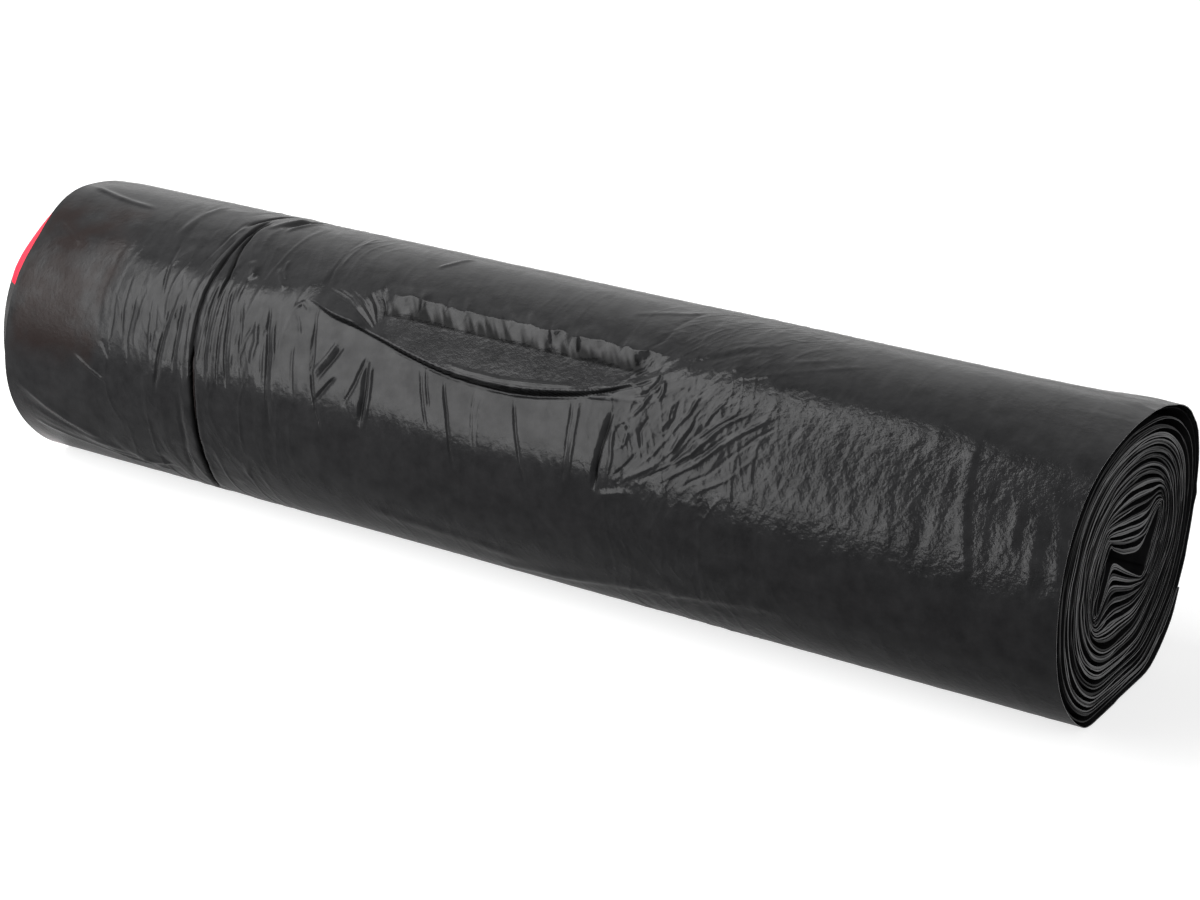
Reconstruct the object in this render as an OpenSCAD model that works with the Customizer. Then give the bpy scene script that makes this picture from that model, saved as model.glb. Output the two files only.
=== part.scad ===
// A soft roll of drawstring bin bags, lying on its side.
// The folded web of bags is wound without a core tube. Its middle has collapsed into pleats,
// which show at the open end (+X). The hems, with the drawtape in them, are at the other end (-X).
// +X runs along the roll, +Z is up, and the origin is under the middle of the roll.
// Angles go round the roll from the front (-Y), over the top (+Z) to the back (+Y).

/* [Roll] */
// Length of the roll, end to end
roll_len = 310; // [240:5:380]
// Width of the round part of the roll
roll_w = 77; // [68:1:90]
// Height of the roll before its own weight flattens the underside
roll_h = 75; // [66:1:86]
// Width of the flat spot that the roll lies on
flat_w = 28; // [14:1:34]

/* [Turns] */
// Number of turns round the collapsed middle
turns = 9; // [6:1:11]
// Number of turns that have collapsed into pleats
pleat_turns = 7; // [5:1:8]
// Air between one turn and the next
turn_gap = 0.38; // [0.28:0.02:0.5]
// Width of the collapsed middle
core_w = 47; // [38:1:50]
// Height of the collapsed middle
core_h = 40; // [32:1:42]
// How far the middle sits to the back of the roll's own middle
core_back = 1; // [-1:0.5:2]
// How far the middle sits above the roll's own middle
core_up = 1.5; // [0:0.5:2.5]
// Angle at which the loose edge of the last turn lies
tail_angle = 210; // [190:10:240]

/* [Ends] */
// How far the edges of the turns wander in and out at the ends
end_wander = 0.8; // [0:0.1:1.5]
// How far the pleats sit inside the open end
core_recess = 0.4; // [0:0.2:4]
// How far the last turn stops short of the turn under it at the hem end
hem_setback = 3; // [1:0.2:6]
// How much the last turn draws in at its rims
rim_draw = 0.3; // [0:0.1:0.6]
// Depth of the flat on the upper front of the hem end
hem_dent = 1.2; // [0:0.1:3.5]
// How far the top sags at the open end
open_sag = 1.9; // [0:0.1:2.5]
// How far the loose turns stand out at the upper back of the open end
loose_back = 5; // [0:0.5:6]
// How far the underside lifts off at the open end
open_lift = 1; // [0:0.1:2]

/* [Hem and drawtape] */
// Width of the drawtape
tape_w = 30; // [20:1:40]
// Distance from the fold of the hem to the tape's edge
tape_inset = 0.4; // [0.2:0.1:4]
// Length of tape wound in the roll, in turns
tape_turns = 2.3; // [1.5:0.1:2.6]
// Depth of the cut-out in the hem that bares the tape
notch_depth = 15; // [8:1:24]
// Angle at which the cut-out starts, on the front of the roll
notch_start = 34; // [20:2:60]
// Angle that the cut-out goes round
notch_sweep = 130; // [60:10:150]

/* [Folds] */
// Distance of the gathered ring of creases from the hem end
gather_from_hem = 65; // [50:1:80]
// Depth of the gathered creases
gather_depth = 0.8; // [0.3:0.05:0.9]
// Length of the lip, where slack film hangs out over the front like an awning
lip_len = 104; // [80:2:120]
// Angle of the lip at its lowest point
lip_low = 35; // [28:1:42]
// Angle at which the hanging film leaves the round body
lip_top = 58; // [52:1:64]
// Height of the crumpled folds beside the lip fold
crumple_height = 0.7; // [0.2:0.1:1]
// Height of the soft dents towards the open end
dent_height = 0.6; // [0.2:0.1:1]

/* [Hidden] */

// Angle between the stations round a turn, and between those where the folds show
turn_step = 10;
fold_step = 3;
// The stretch of the last turn, from the front over the top, that has close stations
fold_from = -10;
fold_to = 110;
// The roll is a little square, not quite an oval, and its middle is flatter at the lower back
squareness = 0.012;
core_lean = 0.16;
// Share of the space between pleats that the film fills, and what the loose turns leave free
pleat_fill = 0.6;
loose_air = 0.4;
// Thickness of the last turn's loose edge, as a share of a turn's own, and how far it tapers
tail_share = 0.25;
tail_taper_deg = 12;
// The last turn stays at full size over this much of a turn, from the underside over the front
level_turn = 0.5;
// The folds fade to nothing this far from the loose edge
fold_fade_deg = 15;
// Place of the lip's lowest point, how squarely it sags, and the angle over which it tucks under
lip_x = -4;
lip_curve = 2.5;
lip_edge_deg = 5;
// Width of one crease of the gather, and the length over which the rims draw in
crease_w = 1.7;
rim_len = 7;
// Length over which the round body takes on the shape of its ends
hem_reach = 28;
open_reach = 46;
// Share of the air between two turns that the tape takes up, and how far up in it the tape lies
tape_share = 0.4;
tape_lift = 0.68;

half_len = roll_len / 2;
// The clipped underside is this far below the roll's middle, by the width of the flat spot
flat_drop = roll_h / 2 * sqrt(1 - pow(flat_w / roll_w, 2));
core_drop = core_h / 2 * sqrt(1 - pow(flat_w / roll_w, 2));
// Depth is counted in turns. The pleats follow the ring, and the last wall has room at the middle.
depth_all = turns + pleat_turns + pleat_fill;
// Pitch of the ring at its narrowest, and the share of it that the film fills
pitch = min(roll_w - core_w - 2 * core_back, roll_h - core_h - 2 * core_up) / 2 / turns;
ring_fill = 1 - turn_gap / pitch;

function mix(a, b, s) = a + (b - a) * s;
function clamp(v, low, high) = min(max(v, low), high);
function smooth(s) = let (c = clamp(s, 0, 1)) c * c * (3 - 2 * c);
function bell(d, w) = exp(-pow(d / w, 2));
// The same angle, brought to the range from -90 (underneath) up to 270
function front_angle(angle) = let (a = angle % 360) a > 270 ? a - 360 : a;

// How far the outline stands out from the round body at each end
function hem_shape(a) = -hem_dent * bell(a - 54, 14) + 0.5 * bell(a - 84, 10);
function open_shape(a) = -open_sag * bell(a - 78, 32) + loose_back * bell(a - 150, 26);

// The ring between the outline of the roll (share 0) and that of its collapsed middle (share 1).
// The weights of the end shapes are hem and open.
function ring_point(angle, share, hem, open) =
    let (
        a = front_angle(angle),
        bulge = 1 - squareness * cos(4 * angle),
        lean = 1 - core_lean * share * bell(a - 222, 36),
        ends = (hem * hem_shape(a) + open * open_shape(a)) * pow(1 - share, 2),
        half_w = mix(roll_w, core_w, share) / 2 * bulge * lean + ends,
        half_h = mix(roll_h, core_h, share) / 2 * bulge * lean + ends,
        y = core_back * share - half_w * cos(angle),
        z = core_up * share + half_h * sin(angle),
        floor_z = mix(open * open_lift - flat_drop, core_up - core_drop, share)
    )
    [y, max(z, floor_z) + flat_drop];

// The collapsed hollow at the middle is a narrow Z. Each row is an angle of the winding
// and where the film lies there, in shares of the middle's half width and half height.
hollow = [
    [-20, -0.68, -0.36], // lower left tip
    [-10, -0.68, -0.29],
    [40, -0.47, 0.22],
    [50, -0.42, 0.30], // upper left corner
    [60, -0.38, 0.22],
    [80, -0.12, 0.04],
    [100, 0.19, -0.07],
    [110, 0.30, -0.07], // dip of the upper pleats
    [120, 0.41, 0],
    [130, 0.57, 0.23],
    [140, 0.67, 0.32],
    [150, 0.71, 0.32], // upper right tip
    [160, 0.71, 0.26],
    [170, 0.67, 0.17],
    [210, 0.43, -0.29],
    [220, 0.39, -0.37], // lower right corner
    [230, 0.31, -0.35],
    [280, -0.36, 0.23],
    [290, -0.41, 0.22], // peak of the lower pleats
    [300, -0.46, 0.05],
    [310, -0.59, -0.26],
    [320, -0.65, -0.36],
    [330, -0.67, -0.38],
    [340, -0.68, -0.36]
];
function hollow_share(a, k = 0) =
    a <= hollow[k + 1][0]
        ? let (s = (a - hollow[k][0]) / (hollow[k + 1][0] - hollow[k][0]))
            mix([hollow[k][1], hollow[k][2]], [hollow[k + 1][1], hollow[k + 1][2]], s)
        : hollow_share(a, k + 1);
function hollow_point(angle) =
    let (a = angle % 360, p = hollow_share(a > 340 ? a - 360 : a))
    [
        core_back + p[0] * core_w / 2,
        core_up + flat_drop + p[1] * core_h / 2
    ];

// A point of the winding at x. A straight line along the roll joins the shapes of its two ends.
function place(x, angle, depth) =
    let (
        open = clamp(x / roll_len + 0.5, 0, 1),
        ring = min(depth / turns, 1),
        pleat = max(depth - turns, 0) / (depth_all - turns),
        p = mix(ring_point(angle, ring, 1 - open, open), hollow_point(angle), pleat)
    )
    [x, p[0], p[1]];

// The winding, from the loose edge inwards: t counts turns
function turn_angle(t) = tail_angle + 360 * t;
function outer_depth(t) = t < 1 ? pow(max(t - level_turn, 0) / (1 - level_turn), 2) : t;
function fill(t) =
    let (
        a = front_angle(turn_angle(t)),
        loose = bell(a - 165, 40) * (1 - smooth((t - 2) / 2))
    )
    mix(ring_fill, pleat_fill, smooth((t - turns + 1) / 2)) * (1 - loose_air * loose);

// Folds in the film of the last turn. Each stroke is
// [x at its start, angle at its start, x at its end, angle at its end, bow in mm, width, height].
gather_x = gather_from_hem - half_len;
strokes = [
    // The gather: sharp creases side by side round the roll, with a ridge between them
    [gather_x - 2, -62, gather_x, 98, -3.0, crease_w, -gather_depth],
    [gather_x - 6, -52, gather_x - 2, 96, -3.0, crease_w * 1.2, gather_depth],
    [gather_x + 5, 42, gather_x + 1, 90, 1.0, crease_w, -gather_depth * 0.8],
    [gather_x + 8, -10, gather_x + 4, 62, 1.0, crease_w * 1.5, gather_depth * 0.6],
    [gather_x - 10, 4, gather_x - 8, 40, 0, crease_w * 1.3, -gather_depth * 0.7],
    [gather_x - 13, 6, gather_x - 15, 50, 0, crease_w * 1.6, gather_depth * 0.5],
    // Crumpled folds that fan out beside the end of the lip
    [36, 6, 37, 38, 0, 2.2, crumple_height],
    [42, 12, 66, 42, 2.0, 2.2, crumple_height],
    [50, 14, 78, 50, 2.0, 2.4, crumple_height],
    [46, 26, 56, 46, 0, 2.0, crumple_height * 0.8],
    [-48, 14, -35, 36, 0, 2.2, crumple_height],
    [-37, 8, -34, 30, 0, 2.0, crumple_height * 0.8],
    [-66, 4, -70, 46, 0, 2.4, crumple_height * 0.6],
    // Soft dents towards the open end
    [133, 2, 126, 62, 0, 4.0, dent_height],
    [147, 4, 145, 44, 0, 3.5, dent_height * 0.8],
    [112, 10, 106, 40, 0, 6.0, -dent_height * 0.6],
    [90, 12, 96, 44, 0, 5.0, dent_height * 0.5],
    // The film hangs a little slack between the folds along the underside
    [-120, -44, -20, -34, 0, 6.0, -dent_height],
    [0, -46, 90, -24, 0, 6.0, dent_height * 0.7]
];

// Height of one stroke at x and an angle
function stroke_height(s, x, angle) =
    let (
        per_deg = (roll_w + roll_h) * PI / 720,
        p = [x, angle * per_deg],
        a = [s[0], s[1] * per_deg],
        b = [s[2], s[3] * per_deg],
        along = (b - a) / norm(b - a),
        across = [-along[1], along[0]],
        share = (p - a) * along / norm(b - a),
        side = (p - a) * across - s[4] * 4 * share * (1 - share),
        ends = smooth((share + 0.12) / 0.24) * smooth((1.12 - share) / 0.24)
    )
    s[6] * bell(side, s[5]) * ends;

// The lip: the film leaves the round body along a tangent and hangs out to the lip, where it
// tucks back under. The lip sags between its two ends.
function lip_height(x, a) =
    let (
        sag = min(pow(abs(x - lip_x) / lip_len * 2, lip_curve), 1),
        low = mix(lip_low, lip_top, sag),
        hang = clamp(lip_top - a, 0, lip_top - low)
    )
    (roll_w + roll_h) / 4 * (1 / cos(hang) - 1) * smooth((a - low) / lip_edge_deg + 1);

// How far the folds stand out from the last turn
function fold_height(x, a, i = 0) =
    i == len(strokes) ? lip_height(x, a) : stroke_height(strokes[i], x, a) + fold_height(x, a, i + 1);

// A point on the outside of the last turn, where the end shapes fade quickly into the round body.
// Near the rims the film draws in. Near the loose edge and on the underside it has no folds.
function outside(x, t, depth) =
    let (
        angle = turn_angle(t),
        a = front_angle(angle),
        hem = 1 - smooth((x + half_len) / hem_reach),
        open = 1 - smooth((half_len - x) / open_reach),
        edge = min(half_len - x, x + half_len),
        drawn = -rim_draw * (1 - smooth(edge / rim_len)) * smooth((a + 60) / 20),
        faded = smooth(360 * t / fold_fade_deg) * smooth(360 * (1 - t) / fold_fade_deg),
        lifted = smooth((a + 66) / 20) * smooth((150 - a) / 20),
        out = (drawn + fold_height(x, a) * lifted) * faded,
        p = ring_point(angle, depth / turns, hem, open)
    )
    [x, p[0] - out * cos(angle), p[1] + out * sin(angle)];

// Where the edges of the web lie at each end of the roll
function wander(t) = 0.5 + 0.3 * sin(233 * t + 40) + 0.2 * sin(611 * t);
function recess(t) = core_recess * smooth((t - turns + 0.5) / pleat_turns * 2);
function open_end(t) =
    half_len - end_wander * wander(t) * smooth(2 * t - 0.6) - recess(t);
function hem_fold(t) =
    let (
        a = front_angle(turn_angle(t)),
        dip = smooth((a + 25) / 58) * smooth((80 - a) / 40),
        set_back = hem_setback * mix(0.12, 1, dip) * (1 - smooth(5 * t - 4.4)),
        wander_in = end_wander * wander(t + 3) * smooth(t - 1.6)
    )
    -half_len + set_back + wander_in + recess(t);

// The cut-out is in the second turn, which stands out past the last one
notch_t = 1 + (notch_start - tail_angle + 360) / 360;
notch_end_t = notch_t + notch_sweep / 360;
function hem_edge(t) = hem_fold(t) + (t >= notch_t && t <= notch_end_t ? notch_depth : 0);

// One station of the web: [t, depth outside, depth inside, x at the hem end, x at the open end]
function web_row(t) =
    let (
        taper = t < 1 ? 1 - smooth(360 * t / tail_taper_deg) : 0,
        thin = fill(t) * (1 - tail_share) * taper
    )
    [t, outer_depth(t) + thin, t + fill(t), hem_edge(t), open_end(t)];

// Stations of the last turn, closer together where the folds show
fold_first = fold_from + 360 - tail_angle;
fold_last = fold_to + 360 - tail_angle;
last_turn = concat(
    [for (a = [0 : turn_step : fold_first - 1]) a],
    [for (i = [0 : round((fold_last - fold_first) / fold_step) - 1]) fold_first + i * fold_step],
    [for (a = [fold_last : turn_step : 359]) a],
    [360]
);

// Stations of the other turns. The cut-out's ends have one on each side of the cut.
cut_width = 0.0005;
inner_stations = [
    for (i = [1 : 360 / turn_step * (turns + pleat_turns - 1)])
        let (t = 1 + i * turn_step / 360, before = t - turn_step / 360)
            each concat(
                before < notch_t && t > notch_t ? [notch_t - cut_width, notch_t] : [],
                before < notch_end_t && t > notch_end_t
                    ? [notch_end_t, notch_end_t + cut_width]
                    : [],
                [t]
            )
];

web = [for (t = concat(last_turn / 360, inner_stations)) web_row(t)];

// Stations along the outside of the last turn, closer at the gather and the crumpled folds
function steps(from, to, step) =
    let (count = ceil((to - from) / step)) [for (i = [0 : count - 1]) mix(from, to, i / count)];
stations = concat(
    steps(-half_len, -half_len + 8, 4),
    steps(-half_len + 8, gather_x - 18, 9),
    steps(gather_x - 18, gather_x + 12, 2.5),
    steps(gather_x + 12, 30, 7.5),
    steps(30, 84, 6),
    steps(84, half_len - 8, 10),
    steps(half_len - 8, half_len, 4),
    [half_len]
);

// A wound strip as one closed solid. On its first lead rows the outer side has the stations,
// and everywhere else it goes straight from end to end.
module wound_strip(rows, lead, shares) {
    count = len(rows);
    fine = len(shares);
    end = fine - 1;
    far = count - 1;
    outer_first = lead * fine;
    inner_first = outer_first + (count - lead) * 2;
    function outer(i, j) =
        i < lead ? i * fine + j : outer_first + (i - lead) * 2 + (j > 0 ? 1 : 0);
    function inner(i, j) = inner_first + i * 2 + (j > 0 ? 1 : 0);
    points = concat(
        [
            for (i = [0 : 1 : lead - 1], s = shares)
                outside(mix(rows[i][3], rows[i][4], s), rows[i][0], rows[i][1])
        ],
        [for (i = [lead : far], e = [3, 4]) place(rows[i][e], turn_angle(rows[i][0]), rows[i][1])],
        [for (r = rows, e = [3, 4]) place(r[e], turn_angle(r[0]), r[2])]
    );
    outer_lead = [
        for (i = [0 : 1 : lead - 2], j = [0 : end - 1])
            each [
                [outer(i, j), outer(i + 1, j), outer(i + 1, j + 1)],
                [outer(i, j), outer(i + 1, j + 1), outer(i, j + 1)]
            ]
    ];
    outer_join = lead == 0 ? [] : concat(
        [for (j = [0 : end - 1]) [outer(lead - 1, j), outer(lead, 0), outer(lead - 1, j + 1)]],
        [[outer(lead - 1, end), outer(lead, 0), outer(lead, 1)]]
    );
    sides = [
        for (i = [0 : far - 1])
            each concat(
                i < lead ? [] : [
                    [outer(i, 0), outer(i + 1, 0), outer(i + 1, 1)],
                    [outer(i, 0), outer(i + 1, 1), outer(i, 1)]
                ],
                [
                    [inner(i, 0), inner(i + 1, 1), inner(i + 1, 0)],
                    [inner(i, 0), inner(i, 1), inner(i + 1, 1)],
                    [outer(i, 0), inner(i, 0), inner(i + 1, 0)],
                    [outer(i, 0), inner(i + 1, 0), outer(i + 1, 0)],
                    [outer(i, end), inner(i + 1, 1), inner(i, 1)],
                    [outer(i, end), outer(i + 1, end), inner(i + 1, 1)]
                ]
            )
    ];
    caps = concat(
        [for (j = [0 : end - 1]) [inner(0, 0), outer(0, j), outer(0, j + 1)]],
        [
            [inner(0, 0), outer(0, end), inner(0, 1)],
            [inner(far, 0), outer(far, 1), outer(far, 0)],
            [inner(far, 0), inner(far, 1), outer(far, 1)]
        ]
    );
    polyhedron(points, concat(outer_lead, outer_join, sides, caps));
}

module film_roll() {
    color("#2b2b2c")
        wound_strip(web, len(last_turn), [for (x = stations) (x + half_len) / roll_len]);
}

// The tape of the last bag, wound in the air over the turn beneath, and level with that turn's hem
tape_from = turn_step / 360 * 4;
tape_steps = round(tape_turns * 360 / turn_step);
tape_rows = [
    for (i = [0 : tape_steps])
        let (
            t = tape_from + i * turn_step / 360,
            start = hem_fold(t + 1) + tape_inset,
            air = 1 - ring_fill,
            middle = t + 1 - air * tape_lift,
            half_thick = air * tape_share / 2
        )
        [t, middle - half_thick, middle + half_thick, start, start + tape_w]
];

module drawtape() {
    color("#e8202e")
        wound_strip(tape_rows, 0, [0, 1]);
}

film_roll();
drawtape();
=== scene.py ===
import math

import bpy
import numpy as np
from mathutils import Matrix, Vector


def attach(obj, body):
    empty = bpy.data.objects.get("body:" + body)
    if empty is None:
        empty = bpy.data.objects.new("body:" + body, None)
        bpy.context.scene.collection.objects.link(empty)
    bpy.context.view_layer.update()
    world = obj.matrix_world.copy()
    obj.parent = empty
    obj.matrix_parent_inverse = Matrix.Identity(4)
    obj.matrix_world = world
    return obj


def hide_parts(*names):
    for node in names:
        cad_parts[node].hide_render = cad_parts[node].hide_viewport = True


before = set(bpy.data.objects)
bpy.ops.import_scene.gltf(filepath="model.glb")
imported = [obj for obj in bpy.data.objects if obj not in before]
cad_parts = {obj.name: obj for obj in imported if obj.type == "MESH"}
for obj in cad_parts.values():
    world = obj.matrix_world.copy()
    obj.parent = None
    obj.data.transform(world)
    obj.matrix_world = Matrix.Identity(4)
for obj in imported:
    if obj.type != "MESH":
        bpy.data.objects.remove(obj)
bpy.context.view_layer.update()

# A coreless roll of black drawtape bin bags on a white table. A tall softbox at the left, with a
# dimmer one beside it, makes the long highlight. Lengths are in millimetres until a mesh is made.
# Angles are in degrees and go round the roll from the front (-Y), over the top, to the back.
# Depth counts turns from the outside.


def mix(a, b, s):
    # a at s = 0, b at s = 1
    return a + (b - a) * s


def smooth(s):
    # 0 below 0, 1 above 1, and 3s^2 - 2s^3 between
    c = np.clip(s, 0, 1)
    return c * c * (3 - 2 * c)


def between(v, start, rise, stop, fall):
    # smooth((v - start) / rise) times smooth((stop - v) / fall): 1 inside, 0 outside
    return smooth((v - start) / rise) * smooth((stop - v) / fall)


def bell(d, w):
    # exp(-(d/w)^2)
    return np.exp(-((d / w) ** 2))


noiseCells = 256
lineSharpness = 3


def cellNoise(u, v, seed):
    # random values from -1 to 1 at whole numbers of u and v, blended smoothly between them
    grid = np.random.default_rng(seed).uniform(-1, 1, (noiseCells, noiseCells))
    iu, iv = np.floor(u).astype(int), np.floor(v).astype(int)
    su, sv = smooth(u - iu), smooth(v - iv)

    def at(a, b):
        # the value at a corner of the cell
        return grid[(iu + a) % noiseCells, (iv + b) % noiseCells]

    return mix(mix(at(0, 0), at(1, 0), su), mix(at(0, 1), at(1, 1), su), sv)


def creaseNoise(u, v, seed):
    # sharp lines where cellNoise crosses zero: 1 on the line, falling to 0 beside it
    return 1 - np.minimum(np.abs(cellNoise(u, v, seed)) * lineSharpness, 1)


# the winding, as in the solid
winding = {
    "length": 310.0, "width": 77.0, "height": 75.0, "flatWidth": 28.0,
    "turns": 9, "pleatTurns": 7, "turnGap": 0.38,
    "coreWidth": 47.0, "coreHeight": 40.0, "coreBack": 1.0, "coreUp": 1.5, "coreLean": 0.16,
    "squareness": 0.012, "pleatFill": 0.6, "looseAir": 0.4, "tailAngle": 210.0, "levelTurn": 0.5,
    "hemDent": 1.2, "hemRim": 0.5, "openSag": 1.9, "looseBack": 5.0, "openLift": 1.0, "flatRound": 1.3,
    "hemReach": 28.0, "openReach": 46.0, "coreRecess": 0.4, "hemSetback": 3.0, "hemLeast": 0.12,
    "notchDepth": 15.0, "notchStart": 34.0, "notchSweep": 130.0,
    "tapeWidth": 30.0, "tapeInset": 0.4, "tapeTurns": 2.3,
    "lipTop": 58.0,
}
w = winding
halfLength = w["length"] / 2
clip = math.sqrt(1 - (w["flatWidth"] / w["width"]) ** 2)
flatDrop = w["height"] / 2 * clip
coreDrop = w["coreHeight"] / 2 * clip
depthAll = w["turns"] + w["pleatTurns"] + w["pleatFill"]
pitch = min(w["width"] - w["coreWidth"] - 2 * w["coreBack"],
            w["height"] - w["coreHeight"] - 2 * w["coreUp"]) / 2 / w["turns"]
ringFill = 1 - w["turnGap"] / pitch
# the cut-out of the hem that bares the tape, in turns from the loose edge
notchFrom = 1 + (w["notchStart"] - w["tailAngle"] + 360) / 360
notchTo = notchFrom + w["notchSweep"] / 360

# centre and half-width, in degrees, of what departs from the even oval
spans = {
    "coreLean": (222, 36), "hemDent": (54, 14), "hemRim": (84, 10), "openSag": (78, 32),
    "looseBack": (150, 26), "looseAir": (165, 40),
}

# the collapsed hollow: angle, then its place in shares of the middle's half width and height
hollow = np.array([
    (-20, -0.68, -0.36), (-10, -0.68, -0.29), (40, -0.47, 0.22), (50, -0.42, 0.30),
    (60, -0.38, 0.22), (80, -0.12, 0.04), (100, 0.19, -0.07), (110, 0.30, -0.07), (120, 0.41, 0.00),
    (130, 0.57, 0.23), (140, 0.67, 0.32), (150, 0.71, 0.32), (160, 0.71, 0.26), (170, 0.67, 0.17),
    (210, 0.43, -0.29), (220, 0.39, -0.37), (230, 0.31, -0.35), (280, -0.36, 0.23),
    (290, -0.41, 0.22), (300, -0.46, 0.05), (310, -0.59, -0.26), (320, -0.65, -0.36),
    (330, -0.67, -0.38), (340, -0.68, -0.36),
])


def frontAngle(angle):
    # the same angle plus or minus whole turns, from -90 (underneath) up to 270
    a = np.mod(angle, 360)
    return np.where(a > 270, a - 360, a)


def spanShare(name, a):
    # the bell of one of the spans: 1 at its centre, 0 far from it
    centre, width = spans[name]
    return bell(a - centre, width)


def softFloor(z, floorZ):
    # z held above the floor; within flatRound of it, floor + (z - floor + flatRound)^2 / (4 flatRound)
    over = np.clip(z - floorZ, -w["flatRound"], w["flatRound"]) + w["flatRound"]
    return np.where(z - floorZ > w["flatRound"], z, floorZ + over ** 2 / 4 / w["flatRound"])


def ringPoint(angle, share, hem, mouth):
    # an oval that shrinks from the roll's outline to its middle's as share goes from 0 to 1,
    # cut flat underneath, plus what the hem end and the open end (the mouth) add
    a = frontAngle(angle)
    rad = np.radians(angle)
    bulge = 1 - w["squareness"] * np.cos(4 * rad)
    lean = 1 - w["coreLean"] * share * spanShare("coreLean", a)
    hemShape = -w["hemDent"] * spanShare("hemDent", a) + w["hemRim"] * spanShare("hemRim", a)
    mouthShape = -w["openSag"] * spanShare("openSag", a) + w["looseBack"] * spanShare("looseBack", a)
    ends = (hem * hemShape + mouth * mouthShape) * (1 - share) ** 2
    halfW = mix(w["width"], w["coreWidth"], share) / 2 * bulge * lean + ends
    halfH = mix(w["height"], w["coreHeight"], share) / 2 * bulge * lean + ends
    floorZ = mix(mouth * w["openLift"] - flatDrop, w["coreUp"] - coreDrop, share)
    y = w["coreBack"] * share - halfW * np.cos(rad)
    return y, softFloor(w["coreUp"] * share + halfH * np.sin(rad), floorZ) + flatDrop


def hollowPoint(angle):
    # straight runs between the rows of hollow, averaged over a few degrees to round the bends
    y, z = 0.0, 0.0
    for step in (-4, -2, 0, 2, 4):
        a = np.mod(angle + step, 360)
        a = np.where(a > hollow[-1, 0], a - 360, a)
        y = y + np.interp(a, hollow[:, 0], hollow[:, 1]) / 5
        z = z + np.interp(a, hollow[:, 0], hollow[:, 2]) / 5
    return (w["coreBack"] + y * w["coreWidth"] / 2,
            w["coreUp"] + flatDrop + z * w["coreHeight"] / 2)


def place(x, angle, depth):
    # a point of the winding: the ring, and past its last turn a blend towards the hollow
    mouth = np.clip(x / w["length"] + 0.5, 0, 1)
    ring = np.minimum(depth / w["turns"], 1)
    pleat = np.maximum(depth - w["turns"], 0) / (depthAll - w["turns"])
    ry, rz = ringPoint(angle, ring, 1 - mouth, mouth)
    hy, hz = hollowPoint(angle)
    return mix(ry, hy, pleat), mix(rz, hz, pleat)


def turnAngle(t):
    # the angle reached after t turns from the loose edge
    return w["tailAngle"] + 360 * t


def outerDepth(t):
    # one turn deeper with each turn; the first lies level for half a turn, then sinks as a square
    ramp = np.maximum(t - w["levelTurn"], 0) / (1 - w["levelTurn"])
    return np.where(t < 1, ramp ** 2, t)


def fill(t):
    # the share of one turn's pitch that the film takes up, less at the back where it is loose
    loose = spanShare("looseAir", frontAngle(turnAngle(t))) * (1 - smooth((t - 2) / 2))
    return mix(ringFill, w["pleatFill"], smooth((t - w["turns"] + 1) / 2)) * (1 - w["looseAir"] * loose)


def recess(t):
    # how far the turns of the middle lie back from the ends
    return w["coreRecess"] * smooth((t - w["turns"] + 0.5) / w["pleatTurns"] * 2)


def hemFold(t):
    # where the fold of the hem lies: the last turn stops short of the one beneath
    a = frontAngle(turnAngle(t))
    dip = between(a, -25, 58, 80, 40)
    setBack = w["hemSetback"] * mix(w["hemLeast"], 1, dip) * (1 - smooth((t - 0.88) / 0.2))
    return -halfLength + setBack + recess(t)


def inNotch(t):
    # true where the hem is cut away
    return (t >= notchFrom) & (t <= notchTo)


def makeMesh(name, xyz, quads, attributes=None):
    # xyz is an (n, 3) array in millimetres and quads an (m, 4) array of indices
    mesh = bpy.data.meshes.new(name)
    mesh.vertices.add(len(xyz))
    mesh.vertices.foreach_set("co", (np.asarray(xyz) * 0.001).astype(np.float32).ravel())
    mesh.loops.add(quads.size)
    mesh.loops.foreach_set("vertex_index", quads.astype(np.int32).ravel())
    mesh.polygons.add(len(quads))
    mesh.polygons.foreach_set("loop_start", np.arange(0, quads.size, 4, dtype=np.int32))
    mesh.polygons.foreach_set("loop_total", np.full(len(quads), 4, dtype=np.int32))
    mesh.polygons.foreach_set("use_smooth", np.full(len(quads), True))
    mesh.update(calc_edges=True)
    for key, values in (attributes or {}).items():
        mesh.attributes.new(key, "FLOAT", "POINT").data.foreach_set("value", values.astype(np.float32))
    obj = bpy.data.objects.new(name, mesh)
    bpy.context.scene.collection.objects.link(obj)
    return obj


def gridQuads(rows, columns, closed=False, first=0):
    # quads of a rows by columns grid of points, joined round the columns where closed
    i = np.arange(rows - 1)[:, None]
    j = np.arange(columns if closed else columns - 1)[None, :]
    k = (j + 1) % columns
    a, b = i * columns + j, i * columns + k
    return np.stack([a, a + columns, b + columns, b], -1).reshape(-1, 4) + first


def linear(hexColour):
    # an sRGB hex colour as linear light: c / 12.92 when dark, else ((c + 0.055) / 1.055)^2.4
    c = np.array([int(hexColour[i:i + 2], 16) for i in (1, 3, 5)]) / 255
    return (*np.where(c <= 0.04045, c / 12.92, ((c + 0.055) / 1.055) ** 2.4).tolist(), 1.0)


def node(tree, kind, settings=None, inputs=None):
    # adds a shader node; an input is a value, or a (node, output name) pair to link from
    made = tree.nodes.new("ShaderNode" + kind)
    for key, value in (settings or {}).items():
        setattr(made, key, value)
    for key, value in (inputs or {}).items():
        if isinstance(value, tuple) and hasattr(value[0], "outputs"):
            tree.links.new(value[0].outputs[value[1]], made.inputs[key])
        else:
            made.inputs[key].default_value = value
    return made


def newMaterial(name):
    # an empty material and its node tree
    material = bpy.data.materials.new(name)
    material.use_nodes = True
    material.node_tree.nodes.clear()
    return material, material.node_tree


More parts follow.
